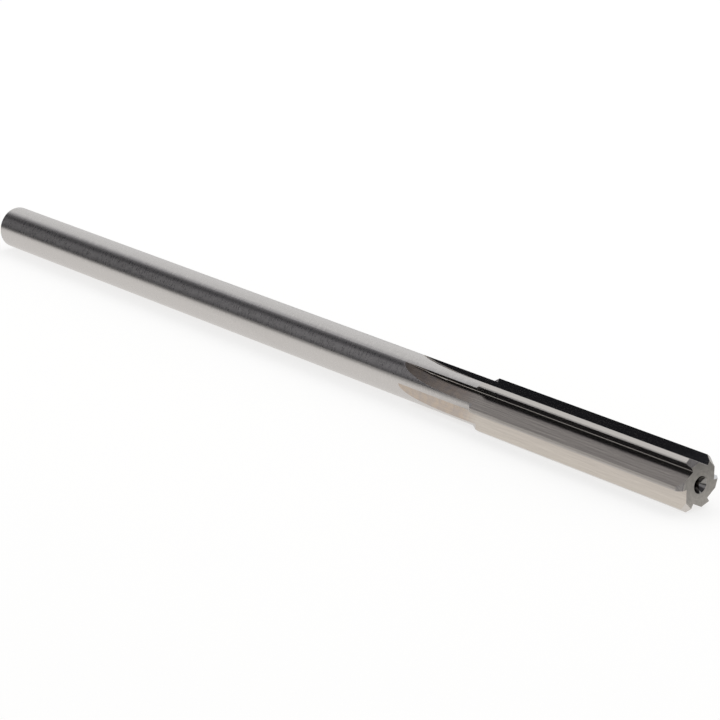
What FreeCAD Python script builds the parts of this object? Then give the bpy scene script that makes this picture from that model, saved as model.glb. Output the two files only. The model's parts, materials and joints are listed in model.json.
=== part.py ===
# Machine reamer: a straight-shank, straight-flute chucking reamer for 23/64 in holes, turned and
# ground from one bar of high-speed steel. Its six teeth cut on the 45 degree bevel at the front.
#
# Frame: +X runs along the axis from the shank to the cutting end, +Z is up, and the origin is the
# centre of the shank's rear face. The tool lies as it rests on a bench, on one cutting edge and on
# the heel of the next tooth. Lengths are in millimetres and angles in degrees.
import FreeCAD, Part
import math
import os

import Sketcher
from FreeCAD import Vector

NODE = "reamer"

SIZES = [
    ("overall_length", 177.8, "rear face to end face, 7 in"),
    ("shank_radius", 3.943, "shank, ground under size so that it passes through the reamed hole"),
    ("shank_edge", 0.2, "45 degree break on the shank's rear edge"),
    ("cutting_radius", 4.564, "cutting edges, half of 23/64 in"),
    ("cutting_length", 44.45, "teeth at full diameter, back from the end face, 1-3/4 in"),
    ("back_bevel", 0.8, "length of the cone between the shank and the teeth"),
    ("bevel_lead", 0.75, "45 degree cutting bevel, along and across the axis"),
    ("bevel_relief", 13, "angle that each tooth's bevel falls away behind its edge"),
    ("floor_height", 3.01, "flute floor above the axis, square to the cutting face"),
    ("root_radius", 0.1, "corner between cutting face and flute floor"),
    ("flute_straight", 49.3, "flute at full depth, back from the end face"),
    ("wheel_radius", 88.9, "grinding wheel of 7 in, whose rim leaves the flute's run-out"),
    ("wheel_sweep", 12, "angle of the wheel's rim that clears the shank"),
    ("margin_width", 0.25, "cylindrical margin behind each cutting edge"),
    ("land_relief", 7, "angle that the land falls away behind its margin"),
    ("teeth", 6, "cutting edges, each with another straight across the axis"),
    ("wide_pitch", 61.8, "angle between cutting edges, but for one closer pair on each side"),
    ("centre_mouth", 1.38, "radius of a centre where it meets the face"),
    ("centre_angle", 60, "included angle of the centres"),
    ("pilot_radius", 0.8, "pilot hole behind each centre"),
    ("pilot_depth", 2.9, "face to the end of the pilot hole's wall"),
    ("drill_point", 118, "included angle of the pilot hole's end"),
    ("clearance", 1.5, "how far a cut's outline reaches past the metal"),
    ("rest_roll", 24.6, "roll from a cutting edge straight up to the tool at rest"),
]

HEAD_START = "Sizes.overall_length - Sizes.cutting_length"
WHEEL_STOP = "Sizes.overall_length - Sizes.flute_straight"
OUTSIDE = "Sizes.cutting_radius + Sizes.clearance"


def write_sheet(doc):
    """Put every size in a cell with an alias, to drive the sketches and features."""
    sheet = doc.addObject("Spreadsheet::Sheet", "Sizes")
    for row, (alias, value, meaning) in enumerate(SIZES, start=1):
        sheet.set(f"A{row}", meaning)
        sheet.set(f"B{row}", str(value))
        sheet.setAlias(f"B{row}", alias)
    doc.recompute()


def origin_item(body, role):
    """One of the body's own origin planes or axes."""
    return next(item for item in body.Origin.OriginFeatures if item.Role == role)


def sketch_on(body, role, name):
    """An empty sketch on one of the body's origin planes."""
    sketch = body.newObject("Sketcher::SketchObject", name)
    sketch.AttachmentSupport = [(origin_item(body, role), "")]
    sketch.MapMode = "FlatFace"
    return sketch


def value_of(item, expression):
    """The number that an expression over the sheet stands for."""
    return float(item.evalExpression(expression))


def hold(sketch, line, end, corner):
    """Tie one end of a line to its corner: on an axis, or by two dimensions bound to the sheet."""
    for kind, axis, expression in zip(("DistanceX", "DistanceY"), (-2, -1), corner):
        if expression == "0":
            sketch.addConstraint(Sketcher.Constraint("PointOnObject", line, end, axis))
        else:
            length = value_of(sketch, expression)
            dimension = Sketcher.Constraint(kind, -1, 1, line, end, length)
            index = sketch.addConstraint(dimension)
            sketch.setExpression(f"Constraints[{index}]", expression)


def draw_outline(sketch, corners, rounded=None, radius=None):
    """Close an outline through corners, each an x and a y expression, taken anticlockwise. Its edges
    are straight, but for the one that leaves the corner numbered rounded: a quarter circle."""
    spots = [Vector(*(value_of(sketch, part) for part in corner), 0) for corner in corners]
    edges = []
    for number, (here, there) in enumerate(zip(spots, spots[1:] + spots[:1])):
        if number == rounded:
            chord = there - here
            bulge = Vector(chord.y, -chord.x, 0) * (math.sqrt(2) - 1) / 2
            edges.append(Part.Arc(here, (here + there) / 2 + bulge, there))
        else:
            edges.append(Part.LineSegment(here, there))
    edges = sketch.addGeometry(edges, False)
    for number, corner in enumerate(corners):
        sketch.addConstraint(Sketcher.Constraint("Coincident", edges[number - 1], 2, edges[number], 1))
        hold(sketch, edges[number], 1, corner)
    if rounded is not None:
        index = sketch.addConstraint(
            Sketcher.Constraint("Radius", edges[rounded], value_of(sketch, radius)))
        sketch.setExpression(f"Constraints[{index}]", radius)


def add_feature(body, kind, name, sketch):
    """A feature of the body that works from a sketch."""
    feature = body.newObject(f"PartDesign::{kind}", name)
    feature.Profile = sketch
    return feature


def turn_blank(body):
    """Turn the bar: shank, back bevel, cutting diameter and the cone of the cutting bevel."""
    sketch = sketch_on(body, "XZ_Plane", "BlankProfile")
    draw_outline(sketch, [
        ("0", "0"),
        ("Sizes.overall_length", "0"),
        ("Sizes.overall_length", "Sizes.cutting_radius - Sizes.bevel_lead"),
        ("Sizes.overall_length - Sizes.bevel_lead", "Sizes.cutting_radius"),
        (HEAD_START, "Sizes.cutting_radius"),
        (f"{HEAD_START} - Sizes.back_bevel", "Sizes.shank_radius"),
        ("Sizes.shank_edge", "Sizes.shank_radius"),
        ("0", "Sizes.shank_radius - Sizes.shank_edge"),
    ])
    blank = add_feature(body, "Revolution", "Blank", sketch)
    blank.ReferenceAxis = (sketch, ["H_Axis"])
    blank.Angle = 360


def drill_centre(body, name, face, inward):
    """Drill a centre and its pilot hole into the end face at x = face; inward is + or -."""
    cone = "(Sizes.centre_mouth - Sizes.pilot_radius) / tan(Sizes.centre_angle / 2)"
    tip = "Sizes.pilot_radius / tan(Sizes.drill_point / 2)"
    sketch = sketch_on(body, "XZ_Plane", f"{name}Profile")
    corners = [
        (face, "0"),
        (f"{face} {inward} (Sizes.pilot_depth + {tip})", "0"),
        (f"{face} {inward} Sizes.pilot_depth", "Sizes.pilot_radius"),
        (f"{face} {inward} {cone}", "Sizes.pilot_radius"),
        (face, "Sizes.centre_mouth"),
    ]
    draw_outline(sketch, corners)
    centre = add_feature(body, "Groove", name, sketch)
    centre.ReferenceAxis = (sketch, ["H_Axis"])
    centre.Angle = 360


def grind_flute(body):
    """Grind the flute in front of the tooth that stands straight up. The wheel's axis is square to
    the cutting face, so its side leaves the flat radial face and its rim the floor: first along the
    head, then round the rim as the wheel lifts out of the shank."""
    sketch = sketch_on(body, "YZ_Plane", "WheelEdge")
    sketch.setExpression("AttachmentOffset.Base.z", WHEEL_STOP)
    far = "-Sizes.cutting_radius - Sizes.clearance"
    draw_outline(sketch, [
        (far, "Sizes.floor_height"),
        ("-Sizes.root_radius", "Sizes.floor_height"),
        ("0", "Sizes.floor_height + Sizes.root_radius"),
        ("0", OUTSIDE),
        (far, OUTSIDE),
    ], rounded=1, radius="Sizes.root_radius")
    centre_height = "Sizes.floor_height + Sizes.wheel_radius"
    height = value_of(sketch, centre_height)
    wheel_axis = sketch.addGeometry(
        Part.LineSegment(Vector(-1, height, 0), Vector(1, height, 0)), True)
    hold(sketch, wheel_axis, 1, ("-Sizes.clearance", centre_height))
    hold(sketch, wheel_axis, 2, ("Sizes.clearance", centre_height))

    straight = add_feature(body, "Pocket", "FluteStraight", sketch)
    straight.Type = "ThroughAll"
    straight.Reversed = True

    run_out = add_feature(body, "Groove", "FluteRunOut", sketch)
    run_out.ReferenceAxis = (sketch, ["Axis0"])
    run_out.setExpression("Angle", "Sizes.wheel_sweep")
    return [straight, run_out]


def relieve_land(body):
    """Grind a flat behind the margin of the same tooth, so that only the margin rubs in the hole."""
    sketch = sketch_on(body, "YZ_Plane", "LandFlat")
    sketch.setExpression("AttachmentOffset.Base.z", WHEEL_STOP)
    margin_end = "sqrt(Sizes.cutting_radius ^ 2 - Sizes.margin_width ^ 2)"
    slope = "Sizes.land_relief * 1 deg + asin(Sizes.margin_width / Sizes.cutting_radius)"
    past_heel = "Sizes.margin_width + Sizes.clearance"
    draw_outline(sketch, [
        ("Sizes.margin_width", margin_end),
        (past_heel, f"{margin_end} - Sizes.clearance * tan({slope})"),
        (past_heel, OUTSIDE),
        ("Sizes.margin_width", OUTSIDE),
    ])
    relief = add_feature(body, "Pocket", "LandRelief", sketch)
    relief.Type = "ThroughAll"
    relief.Reversed = True
    return [relief]


def relieve_bevel(body):
    """Grind the same tooth's bevel to a flat that holds its cutting edge and falls away behind it."""
    sketch = sketch_on(body, "XZ_Plane", "BevelFlat")
    past_front = "Sizes.overall_length + Sizes.clearance"
    draw_outline(sketch, [
        ("Sizes.overall_length - Sizes.bevel_lead - Sizes.clearance", OUTSIDE),
        (past_front, "Sizes.cutting_radius - Sizes.bevel_lead - Sizes.clearance"),
        (past_front, OUTSIDE),
    ])
    relief = add_feature(body, "Pocket", "BevelRelief", sketch)
    relief.UseCustomVector = True
    relief.Direction = Vector(0, 1, 0)
    relief.setExpression("Direction.x", "-tan(Sizes.bevel_relief) / sqrt(2)")
    relief.setExpression("Direction.z", "-tan(Sizes.bevel_relief) / sqrt(2)")
    relief.setExpression("Length", "2 * Sizes.clearance")
    return [relief]


def repeat_teeth(body, cuts):
    """Repeat one tooth's cuts round the axis, unevenly spaced against chatter but in line across it,
    so that a micrometer can span each pair of edges."""
    teeth = body.newObject("PartDesign::PolarPattern", "Teeth")
    teeth.Originals = cuts
    teeth.Axis = (origin_item(body, "X_Axis"), [""])
    teeth.Mode = "Spacing"
    teeth.setExpression("Occurrences", "Sizes.teeth")
    teeth.setExpression("Offset", "Sizes.wide_pitch")
    narrow_pitch = value_of(body, "180 - 2 * Sizes.wide_pitch")
    as_offset = -1
    teeth.Spacings = [as_offset, narrow_pitch, as_offset, as_offset, narrow_pitch]
    body.Tip = teeth


def make_reamer(doc):
    """The whole tool, one piece of steel."""
    body = doc.addObject("PartDesign::Body", NODE)
    body.Label = NODE
    turn_blank(body)
    drill_centre(body, "FrontCentre", "Sizes.overall_length", "-")
    drill_centre(body, "RearCentre", "0", "+")
    doc.recompute()
    repeat_teeth(body, grind_flute(body) + relieve_land(body) + relieve_bevel(body))
    body.Placement.Rotation = FreeCAD.Rotation(Vector(1, 0, 0), 1)
    body.setExpression("Placement.Rotation.Angle", "-Sizes.rest_roll")
    doc.recompute()
    return body


def check(doc, body):
    """Stop on a failed object, a cut that removes nothing, or a result that isn't one sound solid."""
    for item in doc.Objects:
        if {"Invalid", "Error"} & set(item.State):
            raise RuntimeError(f"{item.Name} failed: {item.State}")
    for feature in body.Group:
        base = getattr(feature, "BaseFeature", None)
        if base is not None:
            removed = base.Shape.Volume - feature.Shape.Volume
            print(f"{feature.Name} removes {removed:.2f} mm3")
            if removed <= 0:
                raise RuntimeError(f"{feature.Name} cuts nothing")
    shape = body.Shape
    if shape.isNull() or not shape.isValid() or len(shape.Solids) != 1:
        raise RuntimeError("the reamer isn't one valid solid")


def main():
    doc = FreeCAD.newDocument("MachineReamer")
    write_sheet(doc)
    body = make_reamer(doc)
    check(doc, body)
    os.makedirs("parts", exist_ok=True)
    body.Shape.exportStep(f"parts/{body.Label}.step")
    print(f"{body.Label}: {body.Shape.Volume:.1f} mm3, box {body.Shape.BoundBox}")


main()
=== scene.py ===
# %% [markdown]
# # A ground steel reamer on a studio table
#
# The tool is a straight-shank machine reamer: one bar of high-speed steel, turned, hardened and then
# ground all over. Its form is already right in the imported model, flutes and lands and bevels
# included, so nothing is modelled again here. What makes it read as ground steel is the finish that
# each wheel left behind and the light that the steel mirrors. This lesson builds those two.

import json
import math

import bpy
from mathutils import Matrix, Vector


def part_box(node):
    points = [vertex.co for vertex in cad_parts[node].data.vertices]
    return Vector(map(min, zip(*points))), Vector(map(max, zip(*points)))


MM = 0.001

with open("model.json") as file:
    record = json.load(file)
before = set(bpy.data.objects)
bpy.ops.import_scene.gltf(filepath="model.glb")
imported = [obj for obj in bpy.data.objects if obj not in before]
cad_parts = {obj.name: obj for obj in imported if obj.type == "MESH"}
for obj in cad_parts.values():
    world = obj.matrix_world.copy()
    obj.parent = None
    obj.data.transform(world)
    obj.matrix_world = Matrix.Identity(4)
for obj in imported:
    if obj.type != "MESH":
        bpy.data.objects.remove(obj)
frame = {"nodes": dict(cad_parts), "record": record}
bpy.context.view_layer.update()
reamer = frame["nodes"]["reamer"]
box_low, box_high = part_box("reamer")
print("reamer", round(box_high.x / MM, 1), "mm long,", len(reamer.data.polygons), "faces")

# %% [markdown]
# ## The sizes that the finishes need
#
# Each finish belongs to one region of the bar: the round shank, the flutes, the two end faces, the
# centres. A region is easiest to tell by a radius or by a distance along the axis. The length comes
# from the model's own box and the shank's radius from its record. The other three are what the tool
# was ground to: how long its teeth are, how high the flutes' floors lie above the axis, and the
# radius of a centre where it meets the face. All are in millimetres, because the shaders below work
# in millimetres too.

# %% Name the driving sizes
mounts = {mount["name"]: mount for mount in frame["record"]["mounts"]}
overall_length = box_high.x / MM
shank_radius = mounts["shank"]["dims"]["r_mm"]
cutting_length = 44.45
floor_height = 3.01
centre_mouth = 1.38
head_start = overall_length - cutting_length
print("shank radius", shank_radius, "mm, and the teeth start at", round(head_start, 2), "mm")

# %% [markdown]
# ## The camera
#
# A tool this long and slim looks best from the front quarter and a little above: the end face, the
# teeth and the whole shank are all in view. A long lens keeps the two ends nearly the same size. The
# camera is placed by what a person behind it would set: the point it looks at, how far off it
# stands, its heading round the tool, its height and a slight roll.

# %% Stand the camera at the front quarter
aim_point = Vector((102.42, -0.25, -0.52)) * MM
camera_distance = 426.0 * MM
camera_heading = math.radians(47.9)
camera_elevation = math.radians(17.29)
camera_roll = math.radians(2.55)
camera_lens = 126.94
nearest_shown = 10.0 * MM


def stand_camera(name):
    """A camera that looks at the aim point from its distance, heading and elevation."""
    camera = bpy.data.objects.new(name, bpy.data.cameras.new(name))
    camera.data.lens = camera_lens
    camera.data.clip_start = nearest_shown
    turn = (Matrix.Rotation(camera_heading, 4, "Z")
            @ Matrix.Rotation(math.pi / 2 - camera_elevation, 4, "X")
            @ Matrix.Rotation(camera_roll, 4, "Z"))
    back = turn @ Vector((0, 0, camera_distance))
    camera.matrix_world = Matrix.Translation(aim_point + back) @ turn
    bpy.context.scene.collection.objects.link(camera)
    bpy.context.scene.camera = camera
    return camera


camera = stand_camera("front_quarter_camera")
print("camera at", [round(value / MM, 1) for value in camera.matrix_world.translation], "mm")

# %% [markdown]
# ## Small helpers for shaders
#
# A finish is a graph of nodes. Written out in full it hides what it means, so a few helpers keep it
# short: one adds a node and fills its sockets with numbers or links, one does a sum, one blends two
# values by a mask, and one makes a soft step.

# %% Helper: add a node
def fill(tree, socket, value):
    """Link a socket to another node's output, or set its own value."""
    if isinstance(value, bpy.types.NodeSocket):
        tree.links.new(value, socket)
    else:
        socket.default_value = value


def add_node(tree, kind, settings=None, **sockets):
    """A new node, its settings and its sockets; a socket takes a number or another's output."""
    new = tree.nodes.new(kind)
    for name, value in (settings or {}).items():
        setattr(new, name, value)
    for name, value in sockets.items():
        fill(tree, new.inputs[name.replace("_", " ")], value)
    return new


print("helpers: fill and add_node")

# %% Helpers: sums, blends and soft steps
def live(sockets):
    """The sockets that a node shows with its present settings."""
    return [socket for socket in sockets if socket.enabled]


def calc(tree, operation, *values):
    """The result of one Math node."""
    new = add_node(tree, "ShaderNodeMath", {"operation": operation})
    for socket, value in zip(new.inputs, values):
        fill(tree, socket, value)
    return new.outputs[0]


def blend(tree, mask, off, on, data_type="FLOAT"):
    """off where the mask is 0 and on where it is 1; numbers, colours or vectors."""
    new = add_node(tree, "ShaderNodeMix", {"data_type": data_type})
    for socket, value in zip(live(new.inputs), (mask, off, on)):
        fill(tree, socket, value)
    return live(new.outputs)[0]


def ramp(tree, value, dark_at, bright_at, dark=0.0, bright=1.0):
    """A soft step from dark to bright; the two ends may come in either order."""
    return add_node(tree, "ShaderNodeMapRange", {"interpolation_type": "SMOOTHSTEP"}, Value=value,
                    From_Min=dark_at, From_Max=bright_at, To_Min=dark, To_Max=bright).outputs[0]


print("helpers: calc, blend and ramp")

# %% [markdown]
# ## The studio: a tent of light
#
# Polished steel has hardly a colour of its own. It shows the room, so the room is part of the
# finish. Bright tools are shown in a light tent: a white cloth arched over the table along the
# tool, lit from behind and above, while the cloth on the camera's side stays dark. The shank then
# shows a dark band between two light ones, and that band is what says steel.
#
# The tent could be many lamps and flags. One arched sheet with a glow that changes round the arch
# does the same, and every reflection then depends mostly on which way a face is turned about the
# tool's axis. Only mirror-like rays see it, so it never blocks a view and throws no shadow.
#
# First come three helpers for what belongs to the studio and not to the tool. One stands a piece at
# the middle of the tool's length, on the level of the table. One hides it from all but mirror-like
# rays, and one makes a material that only glows.

# %% Helpers: pieces of the studio
half_length = box_high.x / 2
table_height = box_low.z


def stage_piece(name, mesh, material):
    """A piece of the studio. It isn't part of the tool, and stands on the table's level."""
    piece = bpy.data.objects.new(name, mesh)
    piece.location = (half_length, 0, table_height)
    mesh.materials.append(material)
    bpy.context.scene.collection.objects.link(piece)
    return piece


def only_mirrored(piece):
    """Let only mirror-like rays find the piece."""
    piece.visible_camera = False
    piece.visible_diffuse = False
    piece.visible_shadow = False


def emissive(name, glow_from):
    """A material that only glows; glow_from builds its strength and its colour in the tree."""
    material = bpy.data.materials.new(name)
    material.use_nodes = True
    tree = material.node_tree
    tree.nodes.clear()
    strength, colour = glow_from(tree)
    light = add_node(tree, "ShaderNodeEmission", Strength=strength, Color=colour).outputs[0]
    add_node(tree, "ShaderNodeOutputMaterial", Surface=light)
    return material


print("table top at", round(table_height / MM, 2), "mm")

# %% [markdown]
# The glow is worked out from the angle round the arch: 90 degrees is the foot of the cloth on the
# camera's side, 0 is straight overhead and -90 is the foot behind the tool. The front is unlit up
# to about 18 degrees, then brightens softly to full white just past the top. A dark skirt along the
# foot behind gives the tool's far side a band of its own. From the tool's middle to well past the
# cutting end the dark cloth reaches further and further over the top, like a hood, so that the
# bevels on the camera's side turn dark and stand out.
#
# A dim panel, with a faint haze round it, hangs on the front cloth towards the cutting end. From
# this camera a sharp mirror looks past it, towards the other end of the tent. The shank is rough
# along its axis, so it smears its view over the panel too, and the middle of its dark band lifts.
# The flutes are sharp along the axis and don't see it, so their dark faces stay black.
#
# Turns round the arch are in degrees, and places along it in metres from the tool's middle.

# %% Choose how the cloth glows
dark_cloth, white_cloth = 0.0155, 1.0
dark_ends, white_starts = 18.0, -4.0
skirt_ends, skirt_starts = -86.0, -74.0
skirt_glow = 0.1
hood_near, hood_far = 0.0, 0.4
hood_reach = 50.0
panel_bottom, panel_low, panel_high, panel_top = 88.0, 72.0, 50.0, 32.0
panel_near, panel_far = -0.4, -0.1
panel_glow, panel_haze = 0.5, 0.13
dark_tint = (0.87, 0.87, 1.0, 1)
white_tint = (0.96, 0.98, 1.0, 1)


def cloth_glow(tree):
    """The strength and the colour of the cloth, from the turn round the arch and from x."""
    place = add_node(tree, "ShaderNodeTexCoord").outputs["Object"]
    x, y, z = add_node(tree, "ShaderNodeSeparateXYZ", Vector=place).outputs
    turn = calc(tree, "DEGREES", calc(tree, "ARCTAN2", calc(tree, "MULTIPLY", y, -1.0), z))
    hood = ramp(tree, x, hood_near, hood_far, 0.0, hood_reach)
    top = ramp(tree, calc(tree, "ADD", turn, hood), dark_ends, white_starts, dark_cloth, white_cloth)
    skirt = ramp(tree, turn, skirt_ends, skirt_starts, skirt_glow, 1.0)
    panel = calc(tree, "MULTIPLY", ramp(tree, turn, panel_top, panel_high),
                 ramp(tree, turn, panel_bottom, panel_low))
    panel = calc(tree, "MULTIPLY_ADD", panel, panel_glow, panel_haze)
    panel = calc(tree, "MULTIPLY", panel, ramp(tree, x, panel_near, panel_far))
    glow = calc(tree, "MAXIMUM", calc(tree, "MULTIPLY", top, skirt), panel)
    return glow, blend(tree, glow, dark_tint, white_tint, "RGBA")


tent_cloth = emissive("tent_cloth", cloth_glow)
print("tent cloth of", len(tent_cloth.node_tree.nodes), "nodes")

# %% Arch the tent over the tool
tent_radius = 0.6
tent_half_length = 2.5
tent_steps = 96


def arch_mesh(name, radius, reach, steps):
    """A half cylinder along X that stands on the table, open at both ends."""
    rim = []
    for step in range(steps + 1):
        angle = math.pi * (step / steps - 0.5)
        rim.append((radius * math.sin(angle), radius * math.cos(angle)))
    corners = [(side * reach, y, z) for side in (-1, 1) for y, z in rim]
    panels = [(i, i + 1, i + steps + 2, i + steps + 1) for i in range(steps)]
    mesh = bpy.data.meshes.new(name)
    mesh.from_pydata(corners, [], panels)
    return mesh


tent_mesh = arch_mesh("light_tent", tent_radius, tent_half_length, tent_steps)
tent = stage_piece("light_tent", tent_mesh, tent_cloth)
only_mirrored(tent)
print("tent", tent_radius, "m high and", 2 * tent_half_length, "m long")

# %% [markdown]
# Two sheets of paper lie on the table. A black one past the cutting end turns the end face grey
# against the bright flutes, where it would melt into the white table. A grey one beside the head, on
# the camera's side, does the same for the land that looks down at the table there. They too are
# there for mirror-like rays alone. Their sides are in metres from the middle of the tool.

# %% Lay the papers
end_gap = 0.012
side_gap, side_width = 0.009, 0.025
side_start = 0.033
side_grey = 0.66
paper_lift = 0.05 * MM
plain_white = (1, 1, 1, 1)


def flat_mesh(name, x_from, x_to, y_from, y_to):
    """A flat rectangle."""
    mesh = bpy.data.meshes.new(name)
    mesh.from_pydata([(x_from, y_from, 0), (x_to, y_from, 0), (x_to, y_to, 0), (x_from, y_to, 0)],
                     [], [(0, 1, 2, 3)])
    return mesh


def lay_paper(name, level, *sides):
    """A sheet of paper of an even grey, with its sides given as x from, x to, y from and y to."""
    paper = stage_piece(name, flat_mesh(name, *sides),
                        emissive(name, lambda tree: (level, plain_white)))
    paper.location.z += paper_lift
    only_mirrored(paper)
    print(name, "of level", level, "lies on the table")


lay_paper("end_paper", dark_cloth, half_length + end_gap, tent_half_length, -tent_radius, tent_radius)
lay_paper("side_paper", side_grey, side_start, half_length, -side_gap - side_width, -side_gap)

# %% [markdown]
# ## The table
#
# The table is a plain pale board. An ordinary one would need so much light to look white that the
# tool would wash out. So to the eye this one is partly its own shade and partly a white glow: it
# reads as white and still keeps the soft shadow under the tool. Steel mirrors it as white beside the
# tool, fading towards the dark cloth on the camera's side, as a table does that is lit from behind.
# That fade is the lower edge of the shank's dark band. A Light Path node tells the eye from a
# reflection, and so one board can be both.

# %% Make the board
board_colour = (0.86, 0.855, 0.845, 1)
board_glow_seen = 0.62
board_white_seen = 1.12
board_white_mirrored = 0.97
fade_half = 46.0
fade_power = 3.0


def seen_and_mirrored(tree):
    """1 for rays from the eye, and 1 for rays off metal or through glass."""
    path = add_node(tree, "ShaderNodeLightPath").outputs
    return path["Is Camera Ray"], calc(tree, "MAXIMUM", path["Is Glossy Ray"],
                                       path["Is Transmission Ray"])


def faded_white(tree):
    """White beside the tool, half as bright at fade_half millimetres towards the camera."""
    place = add_node(tree, "ShaderNodeTexCoord").outputs["Object"]
    y = add_node(tree, "ShaderNodeSeparateXYZ", Vector=place).outputs["Y"]
    away = calc(tree, "MAXIMUM", calc(tree, "MULTIPLY", y, -1 / (fade_half * MM)), 0.0)
    loss = calc(tree, "ADD", calc(tree, "POWER", away, fade_power), 1.0)
    return calc(tree, "DIVIDE", board_white_mirrored, loss)


def make_board():
    """Pale matt board that turns partly to white glow for the eye and wholly for steel."""
    material = bpy.data.materials.new("pale_board")
    material.use_nodes = True
    tree = material.node_tree
    tree.nodes.clear()
    seen, mirrored = seen_and_mirrored(tree)
    matt = add_node(tree, "ShaderNodeBsdfDiffuse", Color=board_colour).outputs[0]
    white = blend(tree, mirrored, board_white_seen, faded_white(tree))
    light = add_node(tree, "ShaderNodeEmission", Strength=white).outputs[0]
    share = calc(tree, "MAXIMUM", calc(tree, "MULTIPLY", seen, board_glow_seen), mirrored)
    both = add_node(tree, "ShaderNodeMixShader")
    for socket, value in zip(both.inputs, (share, matt, light)):
        fill(tree, socket, value)
    add_node(tree, "ShaderNodeOutputMaterial", Surface=both.outputs[0])
    return material


board = make_board()
print("board fades to half at", fade_half, "mm towards the camera")

# %% Set the table
table_half_width = 4.0
table_sides = (-table_half_width, table_half_width)
table = stage_piece("table", flat_mesh("table", *table_sides, *table_sides), board)
print("table top", [round(side, 1) for side in table.dimensions], "m")

# %% [markdown]
# ## The light that falls on everything
#
# The room beyond the tent is white, a little softer where it only lights than where it is seen. It
# would leave hardly any shadow, so one broad lamp hangs above and behind the tool. The lamp isn't
# mirrored, because the tent already says what the steel mirrors.

# %% Light the room
room_fill = 0.75


def light_room(fill_level):
    """A white room: full white where it is seen or mirrored, softer where it only lights."""
    world = bpy.data.worlds.new("white_room")
    world.use_nodes = True
    tree = world.node_tree
    level = blend(tree, calc(tree, "MAXIMUM", *seen_and_mirrored(tree)), fill_level, 1.0)
    background = tree.nodes["Background"]
    fill(tree, background.inputs["Strength"], level)
    fill(tree, background.inputs["Color"], plain_white)
    bpy.context.scene.world = world


light_room(room_fill)
bpy.context.scene.view_settings.view_transform = "Standard"
print("room lights at", room_fill)

# %% Hang the softbox
softbox_size = 0.6
softbox_power = 1.6
softbox_place = Vector((half_length - 0.15, 0.3, 0.7))


def hang_softbox():
    """One broad lamp above and behind the tool, for the soft shadow."""
    lamp = bpy.data.lights.new("overhead_softbox", "AREA")
    lamp.size = softbox_size
    lamp.energy = softbox_power
    softbox = bpy.data.objects.new("overhead_softbox", lamp)
    softbox.location = softbox_place
    toward = Vector((half_length, 0, table_height)) - softbox_place
    softbox.rotation_euler = toward.to_track_quat("-Z", "Y").to_euler()
    softbox.visible_glossy = False
    bpy.context.scene.collection.objects.link(softbox)
    return softbox


softbox = hang_softbox()
print("softbox at", [round(value, 2) for value in softbox.location], "m")

# %% [markdown]
# ## Where each wheel has been
#
# The bar was ground by different wheels, and each left marks in its own direction. Round the shank
# they run round the bar. In the flutes they run along it, because there the wheel's rim travels
# the length of the tool. On the end faces they are rings. One steel carries them all, so one
# material holds them, and masks say which marks a spot gets. Painting the masks by hand would need
# an unwrapped mesh. Here a mask reads only where the spot is and which way its face looks, which is
# exact at every edge.

# %% Helper: sums on vectors
def vector_calc(tree, operation, *values):
    """The result of one Vector Math node: a vector, or a number for a length or a dot product."""
    new = add_node(tree, "ShaderNodeVectorMath", {"operation": operation})
    for socket, value in zip(live(new.inputs), values):
        fill(tree, socket, value)
    return live(new.outputs)[0]


print("helper: vector_calc")

# %% [markdown]
# Slacks, depths and bevel_inside are in millimetres. A facing says how squarely a face looks along
# the axis, from 0 to 1. A tilt says how squarely it looks away from the axis: 1 on a round wall and
# 0 on a radial cutting face.

# %% Tell the regions apart
wall_slack = 0.04
head_slack = 0.05
root_depth = 0.04
centre_slack = 0.01
end_facing = 0.93
bevel_facing = 0.4
bevel_inside = 2.9
land_tilt = 0.95
corner_tilt = 0.6
cutting_tilt = 0.4
run_out_from = head_start + 1.0
run_out_full = head_start - 4.0


def place_in_mm(tree):
    """The spot in millimetres, its x, the way out from the axis, its radius and its normal."""
    coordinates = add_node(tree, "ShaderNodeTexCoord").outputs
    spot = vector_calc(tree, "SCALE", coordinates["Object"], 1 / MM)
    x, y, z = add_node(tree, "ShaderNodeSeparateXYZ", Vector=spot).outputs
    outward = add_node(tree, "ShaderNodeCombineXYZ", X=0.0, Y=y, Z=z).outputs[0]
    return spot, x, outward, vector_calc(tree, "LENGTH", outward), coordinates["Normal"]


def region_masks(tree, x, outward, radius, normal):
    """A mask for each region, 1 inside it and 0 elsewhere; only the run-outs fade in."""
    facing = add_node(tree, "ShaderNodeSeparateXYZ", Vector=normal).outputs["X"]
    tilt = calc(tree, "DIVIDE", vector_calc(tree, "DOT_PRODUCT", outward, normal), radius)
    outer = calc(tree, "GREATER_THAN", radius, shank_radius - wall_slack)
    return {
        "wall": calc(tree, "MULTIPLY", outer, calc(tree, "LESS_THAN", x, head_start - head_slack)),
        "land": calc(tree, "MULTIPLY", outer, calc(tree, "GREATER_THAN", tilt, land_tilt)),
        "cutting": calc(tree, "LESS_THAN", calc(tree, "ABSOLUTE", tilt), cutting_tilt),
        "corner": calc(tree, "LESS_THAN", tilt, corner_tilt),
        "root": calc(tree, "LESS_THAN", radius, floor_height + root_depth),
        "run_out": ramp(tree, x, run_out_from, run_out_full),
        "bevel": calc(tree, "MULTIPLY", calc(tree, "GREATER_THAN", facing, bevel_facing),
                      calc(tree, "GREATER_THAN", radius, bevel_inside)),
        "face": calc(tree, "GREATER_THAN", calc(tree, "ABSOLUTE", facing), end_facing),
        "centre": calc(tree, "LESS_THAN", radius, centre_mouth + centre_slack),
    }


print("flutes run out between x", round(run_out_full, 2), "and", round(run_out_from, 2), "mm")

# %% [markdown]
# ## The marks
#
# A grinding mark is very long and very thin. A picture of brushed steel would show its edges where
# it repeats. Noise has none, and gives such marks when it is stretched: slow along the mark and fast
# across it. Two sizes are added, the fine grit lines and a few wider bands where the wheel bit a
# little deeper. Each is given as marks per millimetre along x, y and z.
#
# The end faces are different. They carry the turning tool's rings, given along the radius, and over
# them a grain.

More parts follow.
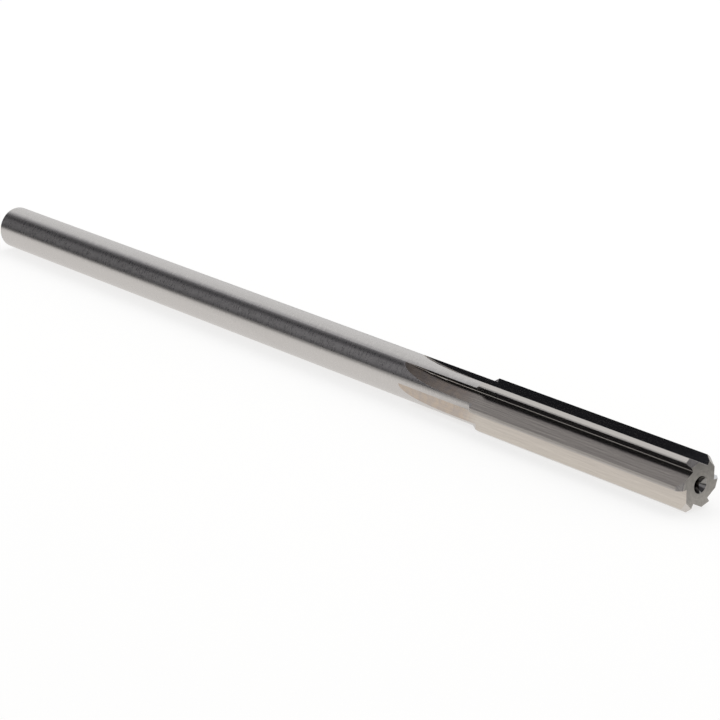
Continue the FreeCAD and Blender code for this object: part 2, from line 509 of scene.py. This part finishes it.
# %% Grinding marks from stretched noise
along_fine, along_coarse = (0.20, 8.0, 8.0), (0.12, 4.0, 4.0)
round_fine, round_coarse = (9.0, 0.5, 0.5), (3.0, 1.3, 1.3)
ring_fine, ring_coarse = (5.0, 0.0, 0.0), (1.6, 0.0, 0.0)
grain_fine, grain_coarse = (1.0, 1.4, 1.4), (1.0, 4.0, 4.0)
mark_detail, mark_roughness = 2.0, 0.6
mark_average = 0.5


def stretched_noise(tree, vector, stretch):
    """Noise over a vector whose parts are scaled apart, in marks per millimetre."""
    return add_node(tree, "ShaderNodeTexNoise", Vector=vector_calc(tree, "MULTIPLY", vector, stretch),
                    Scale=1.0, Detail=mark_detail, Roughness=mark_roughness).outputs[0]


def average(tree, first, second):
    """Halfway between two values."""
    return calc(tree, "MULTIPLY", calc(tree, "ADD", first, second), 0.5)


def grinding_marks(tree, vector, fine, coarse):
    """Fine grit lines with wider bands under them, about 0.5 on average."""
    return average(tree, stretched_noise(tree, vector, fine), stretched_noise(tree, vector, coarse))


print("grit lines:", along_fine[1], "in each mm of flute and", round_fine[0], "of shank")

# %% Lay each region's marks
def layer(tree, base, masks, changes, data_type="FLOAT"):
    """Start from the base value and lay one value over it for each region named in changes."""
    value = base
    for region, on in changes:
        value = blend(tree, masks[region], value, on, data_type)
    return value


def region_marks(tree, masks, spot, radius):
    """Marks along the flutes, round the shank, and in rings and grain on the end faces."""
    along = grinding_marks(tree, spot, along_fine, along_coarse)
    around = grinding_marks(tree, spot, round_fine, round_coarse)
    ringed = add_node(tree, "ShaderNodeCombineXYZ", X=radius, Y=0.0, Z=0.0).outputs[0]
    rings = grinding_marks(tree, ringed, ring_fine, ring_coarse)
    grain = grinding_marks(tree, spot, grain_fine, grain_coarse)
    return layer(tree, along, masks, (("wall", around), ("face", average(tree, rings, grain))))


print("helpers: layer and region_marks")

# %% [markdown]
# ## Colours of the steel
#
# The colour is that of bright high-speed steel. The flutes' floors are warmer than the shank, and
# where the wheel dwells and lifts out of the metal its heat leaves a straw tint with duller
# blotches. The cutting faces and the corners at their roots stay a cool grey. The end faces were
# turned before hardening and are duller than the rest. The centres are darker still, and that
# darkness is painted shade: the same steel gets a dark colour that stands for the shade inside the
# centre hole. Each region's colour is laid over the ones before it, so the order says which one
# wins where two meet.
# region's colour is laid over the ones before it, so the order says which one wins where two meet.

# %% Choose the colours
shank_colour = (0.605, 0.575, 0.55, 1)
flute_colour = (0.55, 0.50, 0.445, 1)
land_colour = (0.595, 0.555, 0.515, 1)
corner_colour = (0.56, 0.56, 0.56, 1)
straw_colour = (0.49, 0.41, 0.34, 1)
dull_straw_colour = (0.43, 0.375, 0.335, 1)
face_colour = (0.42, 0.395, 0.36, 1)
# Painted shade: the centre hole's steel is given this dark colour for the shade in its hollow.
centre_painted_shade_colour = (0.25, 0.24, 0.225, 1)
blotches_per_mm, blotch_detail = 0.9, 3.0
blotch_starts, blotch_full = 0.35, 0.70
flute_contrast, shank_contrast, face_contrast = 0.5, 0.15, 2.0


def steel_colour(tree, masks, spot, uneven):
    """The colour of each region, lighter and darker along its grinding marks."""
    blotches = add_node(tree, "ShaderNodeTexNoise", Vector=spot, Scale=blotches_per_mm,
                        Detail=blotch_detail).outputs[0]
    heat_tint = blend(tree, ramp(tree, blotches, blotch_starts, blotch_full), straw_colour,
                      dull_straw_colour, "RGBA")
    colour = layer(tree, flute_colour, masks, (
        ("run_out", heat_tint), ("corner", corner_colour), ("land", land_colour),
        ("wall", shank_colour), ("bevel", land_colour), ("face", face_colour),
        ("centre", centre_painted_shade_colour)), "RGBA")
    contrast = layer(tree, flute_contrast, masks, (
        ("wall", shank_contrast), ("face", face_contrast)))
    return vector_calc(tree, "SCALE", colour, calc(tree, "MULTIPLY_ADD", uneven, contrast, 1.0))


print("a blotch is about", round(1 / blotches_per_mm, 1), "mm across")

# %% [markdown]
# ## Polish
#
# Grinding makes steel rough across the marks and leaves it nearly mirror-like along them. The
# anisotropic setting says how strongly, and the tangent says in which direction it is rough: along
# the axis on the shank and across it in the flutes. The end faces have no one direction, so there
# the tangent points any way at each grain.
#
# How rough each region is depends on its wheel. The marks change it a little from line to line, and
# most on the shank, where that speckles the dark band.

# %% Choose the polish
flute_polish = 0.13
region_polish = (("cutting", 0.12), ("land", 0.20), ("wall", 0.30), ("bevel", 0.22), ("face", 0.40),
                 ("centre", 0.08))
flute_spread, shank_spread = 0.15, 0.35
grains_per_mm = 40.0
along_axis = (1, 0, 0)
grain_middle = (0.5, 0.5, 0.5)


def steel_roughness(tree, masks, uneven):
    """Each region's polish, rougher and smoother along its marks."""
    polish = layer(tree, flute_polish, masks, region_polish)
    spread = layer(tree, flute_spread, masks, (("wall", shank_spread),))
    return calc(tree, "MULTIPLY_ADD", uneven, spread, polish)


def steel_tangent(tree, masks, spot, normal):
    """The direction across the marks, in which the steel is rough."""
    across = vector_calc(tree, "CROSS_PRODUCT", normal, along_axis)
    grain = add_node(tree, "ShaderNodeTexNoise", Vector=spot, Scale=grains_per_mm).outputs["Color"]
    any_way = vector_calc(tree, "SUBTRACT", grain, grain_middle)
    return layer(tree, across, masks, (("wall", along_axis), ("face", any_way)), "VECTOR")


print("roughness", flute_polish, "in the flutes, and", dict(region_polish))

# %% [markdown]
# ## Ground steel
#
# Now the parts come together in one shader. The marks come in three times: in the colour, in the
# roughness and as a bump. The bump is deepest on the flutes' floors, a few thousandths of a
# millimetre, where the coarsest wheel ran. It is far finer elsewhere and stops at the bevels, which
# are too narrow to show it.

# %% Build the ground steel
floor_mark_depth = 0.009 * MM
fine_mark_depth = 0.0006 * MM
finely_marked = ("root", "run_out", "cutting", "land", "wall", "face")


def steel_bump(tree, masks, marks):
    """The normal that the marks' own relief gives."""
    depths = tuple((region, fine_mark_depth) for region in finely_marked) + (("bevel", 0.0),)
    depth = layer(tree, floor_mark_depth, masks, depths)
    return add_node(tree, "ShaderNodeBump", Strength=1.0, Distance=depth, Height=marks).outputs[0]


def make_ground_steel():
    """One steel for the whole tool, with each region's marks, colour and polish."""
    material = bpy.data.materials.new("ground_steel")
    material.use_nodes = True
    tree = material.node_tree
    tree.nodes.clear()
    spot, x, outward, radius, normal = place_in_mm(tree)
    masks = region_masks(tree, x, outward, radius, normal)
    marks = region_marks(tree, masks, spot, radius)
    uneven = calc(tree, "SUBTRACT", marks, mark_average)
    shader = add_node(tree, "ShaderNodeBsdfPrincipled", Metallic=1.0, Anisotropic=1.0,
                      Base_Color=steel_colour(tree, masks, spot, uneven),
                      Roughness=steel_roughness(tree, masks, uneven),
                      Tangent=steel_tangent(tree, masks, spot, normal),
                      Normal=steel_bump(tree, masks, marks))
    add_node(tree, "ShaderNodeOutputMaterial", Surface=shader.outputs[0])
    return material


ground_steel = make_ground_steel()
reamer.material_slots[0].material = ground_steel
print("ground steel of", len(ground_steel.node_tree.nodes), "nodes on", reamer.name)

# %% [markdown]
# ## Finish
#
# The view layer is brought up to date once more at the end.

# %% Bring the scene up to date
bpy.context.view_layer.update()
